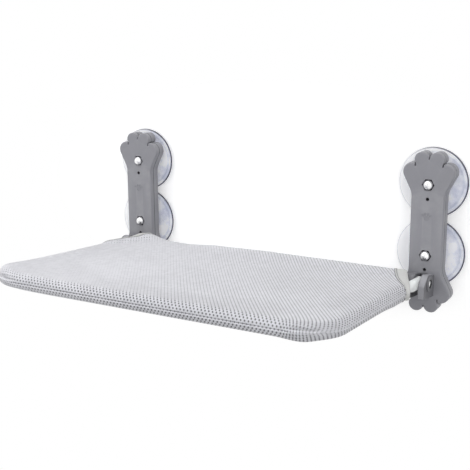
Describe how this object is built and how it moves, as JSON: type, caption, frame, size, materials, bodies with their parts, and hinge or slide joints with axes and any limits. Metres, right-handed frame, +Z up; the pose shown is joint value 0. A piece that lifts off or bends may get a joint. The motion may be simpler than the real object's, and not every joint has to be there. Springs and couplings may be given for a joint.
{
  "type": "window mounted cat perch",
  "caption": "Window perch for a cat: suction cup brackets hold a hinged U frame of steel tube in a mesh sleeve, which folds up flat against the glass.",
  "frame": {"origin": "the middle of the four suction cups, on the glass", "axes": "+X along the perch to the right seen from the room, +Y into the glass, +Z up"},
  "size_m": [0.5242, 0.3399, 0.208],
  "materials": {
    "bracket_plastic": "fine matte texture",
    "cup_pvc": "clear soft PVC, glossy",
    "zinc_steel": "zinc plated",
    "nut_chrome": "bright chrome plated",
    "bolt_steel": "bright nickel plated",
    "frame_paint": "gloss white powder coat",
    "sleeve_mesh": "pale grey spacer mesh",
    "sleeve_tape": "plain woven tape"
  },
  "bodies": {
    "brackets": {"left_front_shell": "bracket_plastic", "left_back_plate": "bracket_plastic", "right_front_shell": "bracket_plastic", "right_back_plate": "bracket_plastic", "upper_left_cup": "cup_pvc", "upper_left_stud": "zinc_steel", "upper_left_cap_nut": "nut_chrome", "upper_right_cup": "cup_pvc", "upper_right_stud": "zinc_steel", "upper_right_cap_nut": "nut_chrome", "lower_left_cup": "cup_pvc", "lower_left_stud": "zinc_steel", "lower_left_cap_nut": "nut_chrome", "lower_right_cup": "cup_pvc", "lower_right_stud": "zinc_steel", "lower_right_cap_nut": "nut_chrome", "left_hinge_bolt": "bolt_steel", "left_hinge_nut": "zinc_steel", "right_hinge_bolt": "bolt_steel", "right_hinge_nut": "zinc_steel"},
    "bed": {"frame_tube": "frame_paint", "rear_bar": "frame_paint", "mesh_sleeve": "sleeve_mesh", "left_cuff": "sleeve_tape", "right_cuff": "sleeve_tape", "front_seam": "sleeve_tape"}
  },
  "joints": [
    {"name": "bed_fold", "type": "hinge", "parent": "brackets", "child": "bed", "pos_m": [0, -0.0435, -0.0742], "axis": [-1, 0, 0], "range_deg": [0, 85]}
  ]
}
